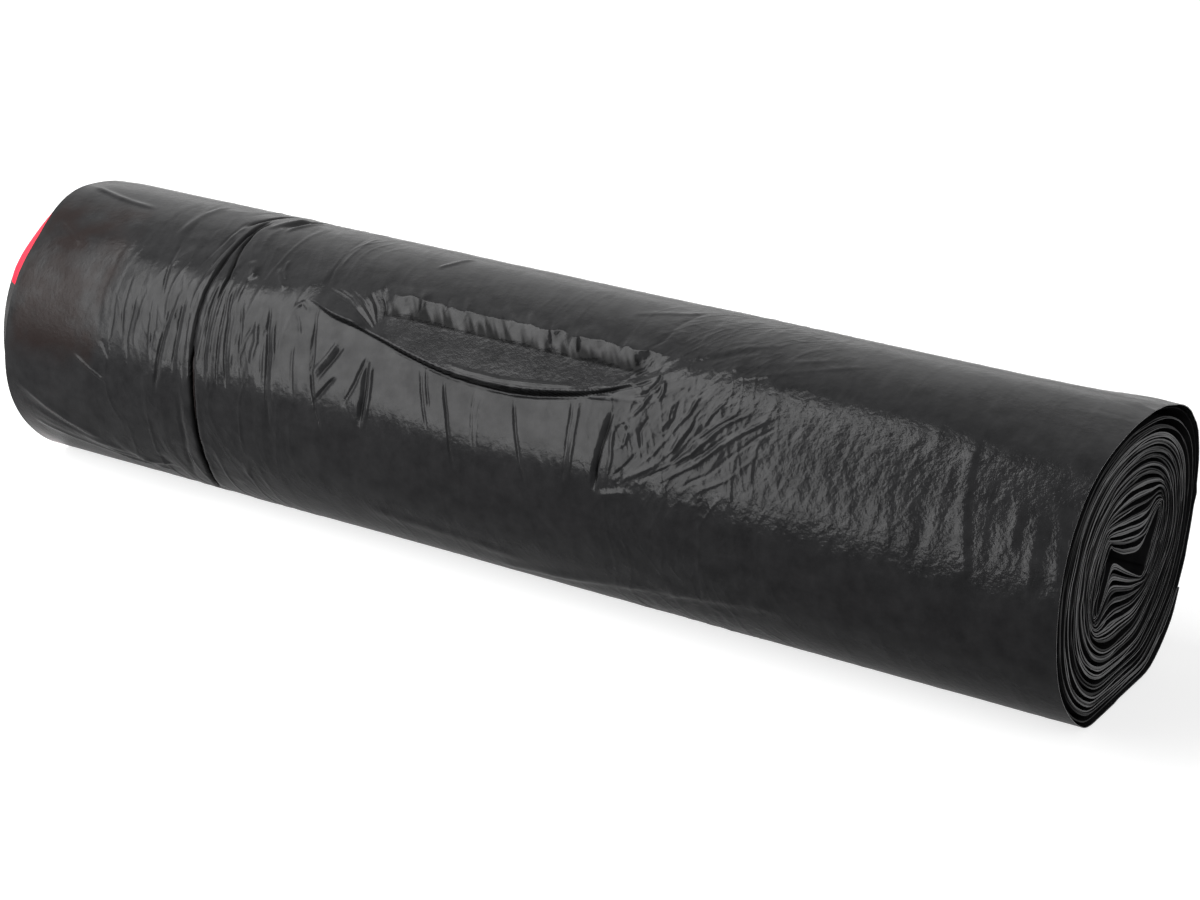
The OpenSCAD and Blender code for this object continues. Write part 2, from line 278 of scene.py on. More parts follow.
filmLook = {
    "black": "#171718",        # carbon-black masterbatch in polyethylene
    "dusty": "#202021",        # the same under a trace of dust, in patches
    "hemTint": "#1f1918",      # the same film with the red tape behind it
    "edge": "#c4c4c5",         # folded and cut edges scatter light and look grey
    "fold": "#040404",         # painted shade, near black, where light is lost in a narrow fold, under the lip and on the slack film
    "roughness": 0.13, "hemRoughness": 0.135, "edgeRoughness": 0.5, "lessRough": 0.03, "moreRough": 0.05,
    "level": 0.11, "hemLevel": 0.066, "patchy": 0.2,
    "patchMm": 5.0, "mottleMm": 1.2, "grainMm": 0.4,
    "mottle": 0.055, "dimple": 0.15, "grain": 0.018,
    "edgeFacing": (0.6, 0.9),  # how far along the roll an edge faces, at first and in full
    "edgeReach": (22, 18),     # and how many mm from the end it lies
    "ior": 1.51,
}


def filmMaterial():
    # Blown low-density polyethylene, coloured through with carbon black: a smooth thin skin that
    # mirrors the lamps, with a slight haze from the mottled surface that cooling leaves.
    f = filmLook
    material, tree = newMaterial("blown_black_film")
    coords = node(tree, "TexCoord")
    mottle = node(tree, "TexNoise", {}, {
        "Vector": (coords, "Object"), "Scale": 1000 / f["mottleMm"], "Detail": 3.0, "Roughness": 0.55})
    grain = node(tree, "TexNoise", {}, {
        "Vector": (coords, "Object"), "Scale": 1000 / f["grainMm"], "Detail": 2.0, "Roughness": 0.6})
    dimples = node(tree, "Attribute", {"attribute_name": "dimples"})
    dimpled = node(tree, "MapRange", {}, {
        "Value": (dimples, "Fac"), "To Min": f["mottle"] * 0.001, "To Max": f["dimple"] * 0.001})
    coarse = node(tree, "Bump", {}, {
        "Height": (mottle, "Fac"), "Strength": 1.0, "Distance": (dimpled, 0)})
    fine = node(tree, "Bump", {}, {
        "Height": (grain, "Fac"), "Strength": 1.0, "Distance": f["grain"] * 0.001,
        "Normal": (coarse, "Normal")})
    # what faces along the roll near its ends is an edge of the film, and paler the less dull it is
    facing = node(tree, "SeparateXYZ", {}, {"Vector": (coords, "Normal")})
    facing = node(tree, "Math", {"operation": "ABSOLUTE"}, {0: (facing, "X")})
    facing = node(tree, "MapRange", {"interpolation_type": "SMOOTHSTEP"}, {
        "Value": (facing, 0), "From Min": f["edgeFacing"][0], "From Max": f["edgeFacing"][1]})
    along = node(tree, "SeparateXYZ", {}, {"Vector": (coords, "Object")})
    along = node(tree, "Math", {"operation": "ABSOLUTE"}, {0: (along, "X")})
    along = node(tree, "MapRange", {}, {
        "Value": (along, 0), "From Min": 0.001 * (halfLength - f["edgeReach"][0]),
        "From Max": 0.001 * (halfLength - f["edgeReach"][1])})
    isEdge = node(tree, "Math", {"operation": "MULTIPLY"}, {0: (facing, 0), 1: (along, 0)})
    dull = node(tree, "Attribute", {"attribute_name": "dull"})
    isPale = node(tree, "Math", {"operation": "SUBTRACT", "use_clamp": True}, {
        0: (isEdge, 0), 1: (dull, "Fac")})
    tint = node(tree, "Attribute", {"attribute_name": "tint"})
    # dust and haze vary from patch to patch
    patch = node(tree, "TexNoise", {}, {
        "Vector": (coords, "Object"), "Scale": 1000 / f["patchMm"], "Detail": 5.0, "Roughness": 0.62})
    patch = node(tree, "MapRange", {}, {"Value": (patch, "Fac"), "From Min": 0.3, "From Max": 0.7})
    black = node(tree, "Mix", {"data_type": "RGBA"}, {
        0: (patch, 0), 6: linear(f["black"]), 7: linear(f["dusty"])})
    tinted = node(tree, "Mix", {"data_type": "RGBA"}, {
        0: (tint, "Fac"), 6: (black, 2), 7: linear(f["hemTint"])})
    # painted shade: this attribute is high in narrow folds, under the lip and on the slack film, and turns
    # the colour near black
    fold = node(tree, "Attribute", {"attribute_name": "fold"})
    shaded = node(tree, "Mix", {"data_type": "RGBA"}, {
        0: (fold, "Fac"), 6: (tinted, 2), 7: linear(f["fold"])})
    colour = node(tree, "Mix", {"data_type": "RGBA"}, {
        0: (isPale, 0), 6: (shaded, 2), 7: linear(f["edge"])})
    hazy = node(tree, "MapRange", {}, {
        "Value": (mottle, "Fac"), "From Min": 0.3, "From Max": 0.7,
        "To Min": f["roughness"] - f["lessRough"], "To Max": f["roughness"] + f["moreRough"]})
    soft = node(tree, "Mix", {"data_type": "FLOAT"}, {
        0: (tint, "Fac"), 2: (hazy, 0), 3: f["hemRoughness"]})
    rough = node(tree, "Mix", {"data_type": "FLOAT"}, {
        0: (isEdge, 0), 2: (soft, 0), 3: f["edgeRoughness"]})
    gloss = node(tree, "MapRange", {}, {
        "Value": (patch, 0), "To Min": f["level"] * (1 - f["patchy"]),
        "To Max": f["level"] * (1 + f["patchy"] / 2)})
    hemGloss = node(tree, "MapRange", {}, {
        "Value": (patch, 0), "To Min": f["hemLevel"] * (1 - f["patchy"]),
        "To Max": f["hemLevel"] * (1 + f["patchy"])})
    level = node(tree, "Mix", {"data_type": "FLOAT"}, {
        0: (tint, "Fac"), 2: (gloss, 0), 3: (hemGloss, 0)})
    # the same painted shade also takes the gloss away
    level = node(tree, "Mix", {"data_type": "FLOAT"}, {0: (fold, "Fac"), 2: (level, 0), 3: 0.0})
    skin = node(tree, "BsdfPrincipled", {}, {
        "Base Color": (colour, 2), "Roughness": (rough, 0), "IOR": f["ior"],
        "Specular IOR Level": (level, 0), "Normal": (fine, "Normal")})
    node(tree, "OutputMaterial", {}, {"Surface": (skin, 0)})
    return material


tapeLook = {
    "red": "#f01a36", "roughness": 0.28, "ribMm": 1.6, "ribHigh": 0.03,
    "ior": 1.5, "glow": 0.25, "glowReach": (0.002, 0.0008, 0.0008),
}


def tapeMaterial():
    # Extruded polyethylene tape, pigmented red and thin enough to glow where light gets behind it.
    c = tapeLook
    material, tree = newMaterial("extruded_red_tape")
    coords = node(tree, "TexCoord")
    wave = node(tree, "TexNoise", {}, {
        "Vector": (coords, "Object"), "Scale": 1000 / c["ribMm"], "Detail": 2.0})
    bump = node(tree, "Bump", {}, {"Height": (wave, "Fac"), "Distance": c["ribHigh"] * 0.001})
    skin = node(tree, "BsdfPrincipled", {}, {
        "Base Color": linear(c["red"]), "Roughness": c["roughness"], "IOR": c["ior"],
        "Subsurface Weight": c["glow"], "Subsurface Radius": c["glowReach"],
        "Subsurface Scale": 1.0, "Normal": (bump, "Normal")})
    node(tree, "OutputMaterial", {}, {"Surface": (skin, 0)})
    return material


film = filmMaterial()
tapeRed = tapeMaterial()
print("materials made")

perDegree = (w["width"] + w["height"]) * math.pi / 720   # millimetres of film per degree

# Each crease is (height, width on its left, width on its right, [(x, angle), ...]) in mm and degrees,
# with left and right as seen from outside when looking along the crease from its first point.
gather = [
    (-1.00, 0.45, 0.8, [(-95, -58), (-92.5, -50), (-90.5, -40), (-89, -30), (-88.2, -20), (-88, 0),
                        (-89.2, 24)]),
    (-0.60, 0.35, 0.45, [(-88.3, 5), (-89.3, 25), (-90, 40), (-90.5, 50), (-91.5, 72), (-92.5, 96)]),
    (0.12, 1.6, 0.8, [(-96.2, -52), (-91.8, -36), (-89.3, -20), (-89.2, 0), (-90.2, 18), (-91.2, 45),
                      (-92.6, 74), (-93.6, 100)]),
    (-0.32, 0.8, 0.9, [(-99, -50), (-95, -34), (-92.6, -16), (-92.4, 4)]),
    (0.15, 0.9, 1.1, [(-90.4, -52), (-87.4, -34), (-86.2, -16), (-86.4, 4), (-87.6, 22), (-88.4, 42)]),
    (-0.70, 0.39, 0.35, [(-85, 38), (-86, 52), (-88, 62), (-89.5, 70), (-91, 80), (-91, 94)]),
    (-0.80, 0.9, 0.55, [(-95.5, 80), (-94.6, 88), (-93, 98), (-91, 110)]),
    (-0.95, 1.1, 0.9, [(-86.5, 86), (-85.6, 94), (-85, 100), (-82.5, 112), (-80, 124)]),
    (0.35, 1.0, 1.2, [(-88.5, 84), (-87.5, 96), (-86, 108)]),
    (0.28, 0.55, 0.9, [(-84, 84), (-82.6, 96), (-80, 108)]),
    (-0.19, 0.31, 0.31, [(-93.4, 76), (-93.6, 50)]),
    (-0.24, 0.35, 0.31, [(-92.6, 40), (-91.8, 24), (-91.5, 6)]),
    (0.14, 0.31, 0.31, [(-91.9, 66), (-91.6, 46)]),
    (-0.20, 0.31, 0.35, [(-95.2, 42), (-94.6, 26), (-94.8, 8)]),
    (0.15, 0.39, 0.39, [(-94, 44), (-93.4, 28), (-93.4, 8)]),
    (-0.21, 0.31, 0.31, [(-87.6, 56), (-85.6, 32), (-84.6, 8)]),
    (0.18, 0.55, 0.39, [(-86.6, 60), (-84.2, 40), (-83.4, 20), (-83.2, 2)]),
    (-0.20, 0.31, 0.35, [(-84.3, 52), (-81.6, 38), (-80, 6)]),
    (-0.20, 0.39, 0.31, [(-82.6, 52), (-79.6, 35), (-76.8, 6)]),
    (0.14, 0.47, 0.47, [(-81.5, 58), (-77.8, 36), (-75.4, 10)]),
    (-0.33, 0.47, 0.55, [(-98.2, 38), (-99.2, 22), (-100.6, -2)]),
    (0.27, 0.9, 0.47, [(-96.6, 44), (-97.4, 24), (-98.6, 2)]),
    (-0.15, 0.39, 0.39, [(-114.5, 46), (-113.5, 30), (-112, 16)]),
    (-0.14, 0.35, 0.35, [(-110.6, 40), (-110.2, 8)]),
    (0.12, 0.47, 0.47, [(-107.4, 42), (-108, 14)]),
    (-0.15, 0.39, 0.39, [(-103.5, 36), (-102, 26), (-102.8, 14)]),
    (0.15, 0.39, 0.39, [(-105, 40), (-103.8, 28), (-102.4, 10)]),
    (-0.13, 0.39, 0.39, [(-117.6, 40), (-116.4, 26), (-116.8, 14)]),
    (-0.19, 0.35, 0.47, [(-108, 67), (-104.6, 49), (-102, 37)]),
    (0.28, 2.0, 2.0, [(-107.5, 67), (-104, 69), (-100, 67)]),
    (0.45, 1.2, 1.2, [(-83.4, 64), (-80.8, 60), (-79, 54)]),
    (-0.12, 0.35, 0.35, [(-96.4, 92), (-96.2, 70), (-97, 52)]),
    (0.18, 1.2, 0.8, [(-110, 104), (-110.8, 80), (-111, 66)]),
]
lip = [
    # what pulls at the two ends of the lip, tucks in below it and hangs above it
    (0.30, 1.6, 0.39, [(-57, 50.5), (-50, 46.5), (-42, 45), (-35, 42.5), (-30, 40.5)]),
    (-0.20, 0.31, 0.55, [(-34, 41), (-20, 36.4), (-10, 34.2), (0, 33.4), (8, 33.7), (15, 34.9),
                         (24, 37.4), (30, 39.4)]),
    (0.26, 0.39, 0.31, [(-12, 38.2), (-5, 37.2), (5, 37.0), (15, 38.6), (26, 41.4)]),
    (0.50, 1.0, 0.35, [(25, 38.4), (32, 39.6), (40, 41), (46, 42.4)]),
    (-0.24, 0.31, 0.31, [(27, 40.6), (35, 43.4), (41, 48), (45, 53)]),
    (-0.24, 0.31, 0.31, [(-57, 58.5), (-48, 54.5), (-41, 49), (-35, 43.5)]),
    (0.17, 0.31, 0.27, [(-55, 60.5), (-47, 56.8), (-40.5, 50.5), (-35, 44)]),
    (-0.19, 0.27, 0.27, [(-50, 60), (-44, 55.5), (-39, 50), (-35, 44)]),
    (0.15, 0.27, 0.27, [(-46, 60.5), (-41, 55.5), (-37, 49)]),
    (-0.17, 0.27, 0.27, [(-44, 61), (-39.5, 55), (-35.5, 46)]),
    (-0.14, 0.27, 0.27, [(-40, 61), (-37, 56), (-35, 49)]),
    (-0.09, 0.39, 0.39, [(-22, 68), (-20.6, 62), (-20.8, 57)]),
    (-0.08, 0.31, 0.39, [(-9.4, 67), (-8, 62), (-7.4, 56)]),
    (0.09, 0.8, 0.47, [(-29, 66), (-27.4, 60), (-27, 55)]),
    (0.08, 0.55, 0.39, [(-16, 67), (-14.6, 60), (-14.4, 55)]),
    (0.08, 0.47, 0.47, [(-2, 66), (-1, 59), (-0.6, 53)]),
    (-0.10, 0.39, 0.31, [(8, 67), (10.4, 61), (13.4, 54)]),
    (0.08, 0.47, 0.39, [(16, 67), (18.4, 60), (20, 54)]),
    (-0.08, 0.39, 0.39, [(24, 68), (26, 62), (27.6, 56)]),
]
hangers = [
    # folds that hang below the lip, and others that run round the roll beside it
    (-0.19, 0.31, 0.31, [(-14, 12), (-16.5, 24), (-20, 37)]),
    (-0.16, 0.27, 0.31, [(-14, 20), (-16, 28), (-18, 36.5)]),
    (-0.22, 0.35, 0.31, [(-5, -2), (-8, 15), (-12, 35)]),
    (-0.12, 0.31, 0.31, [(-6, 5), (-8, 14), (-10, 26)]),
    (-0.13, 0.27, 0.27, [(0, 8), (-1.4, 22), (-3, 34)]),
    (-0.09, 0.27, 0.27, [(1, 8), (0.4, 20), (0, 32)]),
    (-0.20, 0.35, 0.31, [(16, -2), (13, 15), (8.5, 34)]),
    (-0.20, 0.31, 0.35, [(26, 5), (26.5, 20), (25, 38)]),
    (0.13, 0.47, 0.39, [(27.6, 6), (28, 22), (26.8, 38)]),
    (-0.38, 0.47, 0.8, [(-43, 37), (-46, 28), (-49, 20)]),
    (-0.32, 0.55, 0.47, [(-42.5, 25), (-45.5, 19), (-49.5, 12)]),
    (0.18, 0.55, 0.55, [(-44.6, 39), (-48, 29), (-51, 21)]),
    (-0.25, 0.39, 0.47, [(-35, 36), (-37, 24), (-40, 13)]),
    (-0.51, 0.9, 0.47, [(-34.2, 6), (-34, 20), (-34.8, 35)]),
    (0.27, 0.8, 0.47, [(-33, 6), (-32.4, 20), (-33.4, 34)]),
    (-0.27, 0.39, 0.39, [(-63, -4), (-63.6, 10), (-65, 27), (-69.5, 47)]),
    (0.17, 0.55, 0.39, [(-61.6, 0), (-62, 12), (-63.2, 27), (-67, 44)]),
    (-0.17, 0.31, 0.27, [(-45, -1), (-48, 8), (-50, 20), (-53, 37), (-56, 52)]),
    (-0.11, 0.31, 0.31, [(-56, 56), (-58.5, 66), (-60, 78), (-62.8, 100)]),
    (-0.19, 0.31, 0.31, [(-46, 2), (-49, 15), (-51, 30), (-54, 43)]),
    (0.14, 0.47, 0.39, [(-61, 104), (-58.6, 80), (-57, 66)]),
    (-0.22, 0.47, 0.47, [(-73.5, 22), (-73, 30), (-71, 37)]),
    (0.26, 0.8, 0.8, [(-70, 20), (-69.4, 30), (-71.6, 40)]),
    (0.26, 0.8, 0.47, [(-75, 63), (-72, 58), (-68, 52)]),
    (0.20, 0.55, 0.39, [(-74, 69), (-72.6, 62), (-69.6, 57)]),
    (0.22, 0.8, 0.39, [(-62, 46), (-60, 49), (-57, 46)]),
    (-0.19, 0.39, 0.39, [(-61, 45), (-59, 41), (-57, 36)]),
    (0.20, 1.0, 0.8, [(-30, 102), (-31.5, 92), (-34, 82)]),
    (-0.17, 0.39, 0.39, [(-78, 46), (-75, 34), (-73, 14)]),
    (-0.14, 0.39, 0.39, [(-68, 40), (-67, 28), (-66, 14)]),
    (-0.16, 0.39, 0.39, [(-58, 34), (-57, 24), (-55.4, 12)]),
]
crumple = [
    (-0.59, 0.9, 0.39, [(35, 4), (35.4, 14), (36.4, 26), (37, 38)]),
    (0.35, 0.8, 1.4, [(35, 4), (37, 5.4), (41, 7.4), (46, 9)]),
    (0.20, 0.55, 0.47, [(38.4, 8), (39, 20), (38, 33)]),
    (0.29, 0.9, 0.39, [(42, 12), (50, 20), (55, 28), (60, 44)]),
    (0.29, 0.9, 0.39, [(50, 18), (60, 28), (67, 42), (73, 49)]),
    (0.25, 0.8, 0.39, [(52, 15), (62, 25), (70, 38), (78, 48)]),
    (-0.20, 0.39, 0.39, [(46, 13), (54, 21), (59, 30), (63, 42)]),
    (-0.18, 0.39, 0.39, [(55, 20), (63, 29), (69, 40)]),
    (-0.14, 0.39, 0.39, [(57, 14), (65, 22), (73, 36), (80, 46)]),
    (0.14, 0.47, 0.39, [(62, 14), (70, 22), (77, 34)]),
    (-0.15, 0.35, 0.35, [(48, 16), (56, 25), (61, 38), (64, 47)]),
    (0.15, 0.39, 0.31, [(44, 16), (50, 25), (54, 35), (56, 44)]),
    (0.14, 0.39, 0.31, [(58, 30), (63, 38), (68, 46)]),
    (-0.14, 0.31, 0.31, [(60, 32), (65, 40), (70, 47)]),
    (0.23, 0.47, 0.35, [(38, 48), (42, 46), (45.4, 47), (46.4, 52)]),
    (-0.24, 0.39, 0.31, [(40, 43), (43.4, 45), (45, 51), (44.6, 57)]),
    (0.23, 0.39, 0.39, [(41.6, 35), (43.6, 40), (44.4, 46)]),
    (-0.21, 0.39, 0.39, [(46.6, 25), (45.4, 31), (46.8, 38)]),
    (0.21, 0.39, 0.31, [(47, 42), (47.4, 47), (46.2, 52)]),
    (0.19, 0.39, 0.39, [(50, 32), (51.4, 38), (50.6, 44)]),
    (-0.19, 0.31, 0.39, [(52, 33), (53, 39), (52.4, 46)]),
    (0.20, 0.39, 0.31, [(54.4, 36), (56.4, 42), (57, 50)]),
    (-0.19, 0.31, 0.31, [(56.4, 30), (58.4, 36), (58.8, 44)]),
    (0.18, 0.39, 0.31, [(61, 37), (62, 43), (64.4, 50)]),
    (-0.18, 0.31, 0.31, [(38.6, 30), (41, 33), (43, 31)]),
    (0.20, 0.47, 0.39, [(39, 22), (42, 26), (42.6, 31)]),
    (-0.18, 0.39, 0.39, [(40, 13), (43.4, 19), (46, 25)]),
    (0.10, 1.2, 0.9, [(44, 60), (52, 66), (60, 76), (70, 84)]),
    (0.09, 1.2, 0.9, [(54, 58), (62, 64), (72, 72), (84, 82)]),
    (-0.11, 1.0, 1.0, [(48, 60), (57, 68), (66, 78)]),
    (0.10, 1.0, 0.8, [(62, 58), (70, 64), (80, 72), (92, 82)]),
    (0.17, 1.4, 1.0, [(25, 80), (32, 87), (38, 92), (41, 99)]),
    (-0.15, 0.8, 0.47, [(37, 60), (39.4, 70), (39, 80), (40.6, 98)]),
    (0.13, 0.55, 0.39, [(36.6, 50), (39.4, 55), (40.2, 62)]),
    (0.09, 0.39, 0.31, [(66, -8), (74, -6), (81, -4.2)]),
    (0.09, 0.39, 0.31, [(88, -4.6), (94, -3.6)]),
    (0.13, 1.6, 1.4, [(46, -29), (62, -25), (78, -21)]),
]
openEndFolds = [
    (0.30, 2.2, 0.9, [(133.6, 2), (132.5, 8), (131, 20), (129, 35), (127, 48), (125, 60)]),
    (-0.13, 1.6, 2.0, [(139, 4), (137.4, 20), (135, 36)]),
    (0.16, 1.4, 1.0, [(142.6, 20), (142, 30), (141, 42)]),
    (0.19, 1.2, 0.8, [(148, 4), (147.4, 16), (146, 40)]),
    (0.22, 1.6, 1.0, [(155, 12), (153.4, 24), (150, 45)]),
    (-0.13, 1.2, 1.2, [(151.4, 6), (150.6, 20), (148.4, 38)]),
    (0.15, 1.6, 1.0, [(126, 52), (132, 52), (140, 50), (148, 46)]),
    (-0.10, 1.6, 1.6, [(120, 4), (120.4, 22), (118, 42)]),
    (0.10, 1.6, 1.2, [(113, 6), (112, 24), (109, 40)]),
    (-0.08, 1.6, 1.4, [(106, 4), (105, 22), (101, 40)]),
    (0.08, 1.4, 1.2, [(98, 6), (97, 20), (93, 38)]),
]
hemFolds = [
    (0.40, 1.2, 0.8, [(-153.5, 90), (-147, 86), (-140, 83.4), (-132, 82), (-124, 81)]),
    (0.26, 0.6, 0.4, [(-148, 61.5), (-143, 57), (-136.4, 51.4)]),
    (0.24, 0.5, 0.4, [(-129.4, 8), (-124, 3.4), (-116, -2)]),
    (0.40, 1.6, 1.0, [(-151, -11), (-142, -19), (-134, -25), (-122, -31)]),
    (0.32, 1.4, 1.0, [(-149, -22), (-138, -27), (-126, -33), (-114, -35)]),
    (-0.30, 1.8, 1.8, [(-152, -18), (-140, -25), (-128, -30)]),
    (-0.08, 0.5, 0.5, [(-121, 14), (-121.4, 30), (-122.4, 60)]),
    (-0.20, 0.5, 0.5, [(-116, 9), (-119.6, 17)]),
    (-0.26, 1.6, 1.2, [(-105, -30), (-103, -38), (-107, -46)]),
    (0.38, 1.1, 0.7, [(-149, -30), (-136, -36), (-120, -41), (-104, -44)]),
    (0.30, 0.9, 0.7, [(-127, -36), (-114, -38), (-99, -38)]),
]
swells = [
    # wide and shallow shapes: beside the gather, and where the film hangs slack along the underside
    (0.70, 9, 9, [(-126, 42), (-90, 43), (-58, 42)]),
    (-0.70, 8, 9, [(-126, 62), (-90, 63), (-58, 62)]),
    (0.95, 9, 4.6, [(-151, -25), (-124, -33), (-98, -36)]),
    (0.34, 2.2, 1.6, [(-2, -47), (22, -41), (45, -33), (65, -28), (86, -24)]),
    (0.24, 1.6, 2.2, [(-38, -30), (-10, -32), (12, -36)]),
    (0.26, 1.8, 1.2, [(-120, -28), (-112, -36), (-104, -47)]),
    (0.22, 1.4, 1.0, [(-80, -38), (-74, -30), (-72, -20)]),
]
creases = gather + lip + hangers + crumple + openEndFolds + hemFolds + swells


lipSettings = {
    "lean": 4.0, "inset": 1.26, "dip": 54.0, "swell": 0.25, "edge": 0.7, "ragged": 0.9, "round": 0.5,
    "swellOver": 8, "topAbove": 7, "topWaver": 2.5, "topOver": 7,
    "dipFrom": -44, "dipFade": 8, "from": -62, "fade": 10, "to": 48, "toFade": 8,
}
# the lip's line across the front: x and angle
lipPoints = np.array([
    (-60, 52), (-50, 46.5), (-42, 45), (-35, 42.5), (-20, 37.5), (-10, 35.4), (0, 34.6), (8, 34.9),
    (15, 36), (22, 38), (28, 40), (33, 42.5), (38, 47), (42, 52), (46, 57),
])


def lipLine(x):
    # the angle at which the lip lies, averaged over 3 mm to round its bends
    return sum(np.interp(x + d, lipPoints[:, 0], lipPoints[:, 1]) for d in (-3, -1.5, 0, 1.5, 3)) / 5


def lipHeight(x, a):
    # slack film hangs as a flat awning from a dip to a sagging line, where it tucks back under:
    # (r - inset) / cos(lipTop + lean - a) - r; above the dip it swells back to the round body
    c = lipSettings
    r = (w["width"] + w["height"]) / 4
    tangent = w["lipTop"] + c["lean"]
    dipped = smooth((x - c["dipFrom"]) / c["dipFade"])   # no dip at the left end

    def flat(angle):
        # how far the awning stands out from the round body
        return (r - c["inset"] * dipped) / np.cos(np.radians(np.clip(tangent - angle, 0, 40))) - r

    dip = mix(tangent, c["dip"], dipped)
    ragged = cellNoise(x / 4.3, x * 0, 61) + 0.45 * cellNoise((x + 0.4 * a) / 1.5, a / 40, 62)
    dip = dip + c["ragged"] * ragged
    swell = c["swell"] * dipped * (1 + 0.8 * cellNoise(x / 3.6, a / 60, 63))
    top = c["dip"] + c["topAbove"] + c["topWaver"] * cellNoise((x + 0.5 * a) / 2.1, x * 0, 64)
    above = mix(flat(dip), swell, np.clip((a - dip) / c["swellOver"], 0, 1) ** 1.5)
    above = above * (1 - smooth((a - top) / c["topOver"]))
    # the larger of the two, rounded where they meet: (p + q + sqrt((p - q)^2 + round^2)) / 2
    hanging = flat(a)
    out = (above + hanging + np.sqrt((above - hanging) ** 2 + c["round"] ** 2 * dipped)) / 2
    ends = between(x, c["from"], c["fade"], c["to"], c["toFade"])
    return out * smooth((a - lipLine(x)) / c["edge"] + 1) * ends


creaseSettings = {
    "reach": 3.2, "uneven": 0.45, "unevenMain": 0.12, "mainHeight": 0.6, "unevenMm": 6.5,
    "fadeMm": 6, "darkBelow": 0.7, "darkWidth": 1.3,
}


def creaseHeight(x, a, crease):
    # height times exp(-(distance / width)^2), with a width of its own on each side of the line.
    # It is uneven along the line and fades out at both ends, over a quarter of the line at most.
    # Also gives how much painted shade a narrow groove gets.
    c = creaseSettings
    height, left, right, points = crease
    line = np.array(points, float) * (1.0, perDegree)
    lengths = np.linalg.norm(np.diff(line, axis=0), axis=1)
    run = np.concatenate([[0], np.cumsum(lengths)])
    reach = c["reach"] * max(left, right)
    s = a * perDegree
    near = ((x > line[:, 0].min() - reach) & (x < line[:, 0].max() + reach)
            & (s > line[:, 1].min() - reach) & (s < line[:, 1].max() + reach))
    out, grooveShade = np.zeros_like(x), np.zeros_like(x)
    px, ps = x[near], s[near]
    best = np.full(px.shape, 1e9)
    side = np.zeros_like(px)
    along = np.zeros_like(px)
    for k, (p, q) in enumerate(zip(line[:-1], line[1:])):
        d = (q - p) / lengths[k]
        t = np.clip((px - p[0]) * d[0] + (ps - p[1]) * d[1], 0, lengths[k])
        dx, ds = px - p[0] - t * d[0], ps - p[1] - t * d[1]
        dist = np.hypot(dx, ds)
        closer = dist < best
        best = np.where(closer, dist, best)
        side = np.where(closer, d[0] * ds - d[1] * dx, side)
        along = np.where(closer, run[k] + t, along)
    wide = np.where(side > 0, left, right)
    end = min(run[-1] / 4, c["fadeMm"] + max(left, right))
    uneven = c["uneven"] if abs(height) < c["mainHeight"] else c["unevenMain"]
    vary = 1 + uneven * cellNoise(along / c["unevenMm"], best * 0 + 10 * height + line[0, 0], 20)
    size = height * vary * smooth(along / end) * smooth((run[-1] - along) / end)
    out[near] = size * bell(best, wide)
    narrow = min(left, right)
    # painted shade: a narrow groove darkens with its depth
    if narrow < c["darkBelow"]:
        grooveShade[near] = np.maximum(-size, 0) * bell(best, c["darkWidth"] * narrow)
    return out, grooveShade


# heights of the fine wrinkles in mm, and what is added in the gathered waist, in the crumpled patch
# beside the lip and in the rippled strip that leads from it to the open end
wrinkleHeights = {
    "lines": 0.034, "linesGathered": 0.115, "linesCrumpled": 0.03,
    "fine": 0.016, "fineGathered": 0.03, "fineCrumpled": 0.04,
    "slantedCrumpled": 0.05, "slantedRippled": 0.03, "squiggles": 0.05,
    "ripples": 0.042, "smallRipples": 0.034, "pebbleRippled": 0.026,
    "pebble": 0.007, "speckle": 0.004, "speckleLow": 0.010,
    "brushed": 0.018, "slow": 0.10, "slowRound": 0.05, "lessOnHem": 0.7,
}


def crinkle(x, a):
    # the sum of these heights times noise: sharp random lines that run mostly round the roll,
    # pebbled and brushed patches, and slow waves that break up long reflections
    h = wrinkleHeights
    s = a * perDegree
    bend = 2.2 * cellNoise(x / 14, s / 14, 5)
    crumpled = between(x, 30, 12, 98, 34)
    rippled = smooth((x - 52) / 36) * between(a, -4, 14, 64, 12)
    gathered = bell(x + 88, 28)
    hemmed = 1 - h["lessOnHem"] * smooth((-118 - x) / 8)
    lineHeight = h["lines"] + h["linesGathered"] * gathered + h["linesCrumpled"] * crumpled
    lines = lineHeight * creaseNoise((x + bend) / 4.1, s / 26, 11)
    fineHeight = h["fine"] + h["fineCrumpled"] * crumpled + h["fineGathered"] * gathered
    fine = fineHeight * creaseNoise((x + s * 0.35 + bend) / 2.6, s / 9, 12)
    slantedHeight = h["slantedCrumpled"] * crumpled + h["slantedRippled"] * rippled
    slanted = slantedHeight * creaseNoise((x - s * 0.6 + bend) / 3.2, (s + x * 0.5) / 13, 13)
    ripples = rippled * (h["ripples"] * cellNoise((x + s * 0.15 + bend) / 3.6, s / 9, 14)
                         + h["smallRipples"] * cellNoise((x - s * 0.25 + bend) / 1.7, s / 3.6, 19))
    squiggles = h["squiggles"] * crumpled * creaseNoise((x - s * 0.6 + bend) / 1.8, (s + x * 0.5) / 4.4, 24)
    pebble = h["pebbleRippled"] * rippled * cellNoise(x / 1.1, s / 1.3, 15)
    pebble = pebble + h["pebble"] * cellNoise(x / 1.9, s / 2.6, 16)
    speckleHeight = h["speckle"] + h["speckleLow"] * bell(a - 12, 9)
    pebble = pebble + speckleHeight * cellNoise(x / 1.0, s / 1.1, 25)
    brushed = h["brushed"] * smooth((a - 56) / 8) * cellNoise((x + s * 0.3) / 1.4, s / 8, 26)
    slow = h["slow"] * cellNoise(x / 27, s / 16, 17) + h["slowRound"] * cellNoise(x / 13, s / 30, 18)
    return (lines + fine + slanted + squiggles + pebble + brushed) * hemmed + ripples + slow


